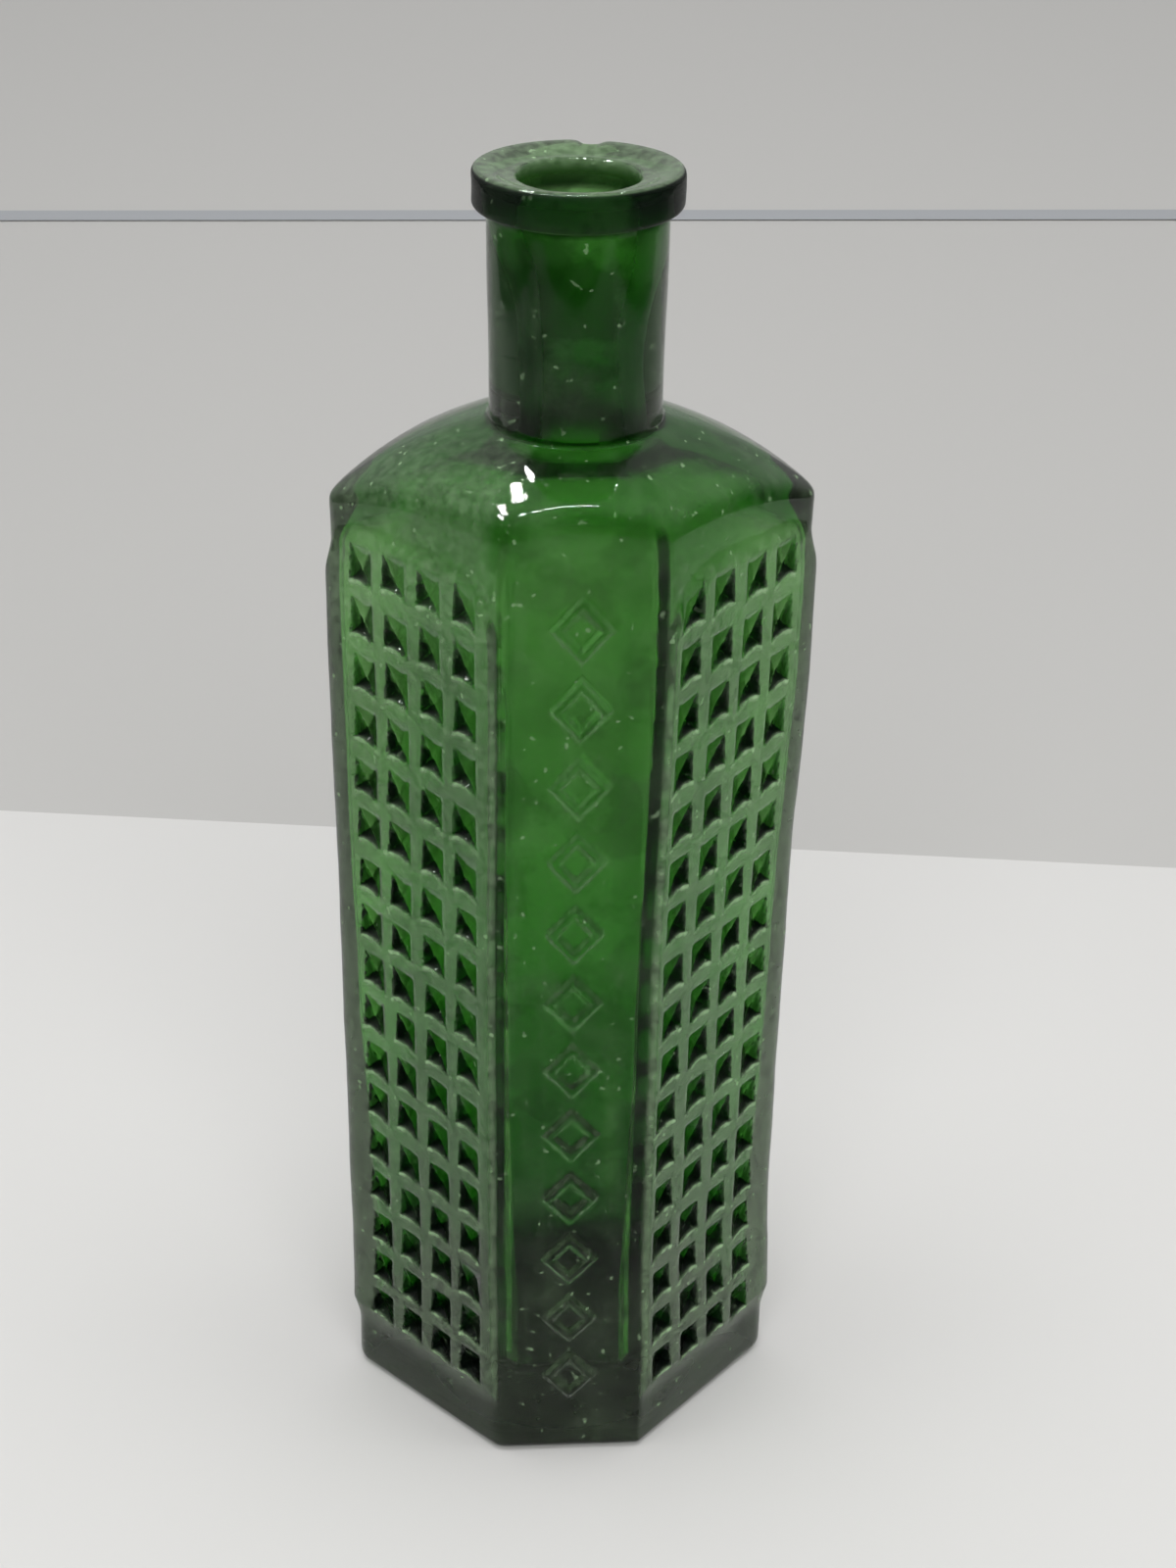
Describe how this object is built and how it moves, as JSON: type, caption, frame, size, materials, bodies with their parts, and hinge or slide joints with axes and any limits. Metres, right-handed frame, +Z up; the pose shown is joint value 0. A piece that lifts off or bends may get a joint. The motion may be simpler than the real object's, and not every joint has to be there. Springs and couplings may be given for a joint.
{
  "type": "glass bottle",
  "caption": "Six-sided glass bottle with a raised lattice on two front sides, a column of raised lozenges, a faceted shoulder, and a round neck with a separate tooled lip.",
  "frame": {"origin": "centre of the bottle's box at its foot, on the axis of the neck", "axes": "+Z up along the axis of the neck; +X towards one sharp side edge; the front panel with the lozenges faces -Y"},
  "size_m": [0.061, 0.0426, 0.18],
  "materials": {
    "green_glass": "gloss"
  },
  "bodies": {
    "root": {"bottle_body": "green_glass", "applied_lip": "green_glass"}
  },
  "joints": []
}
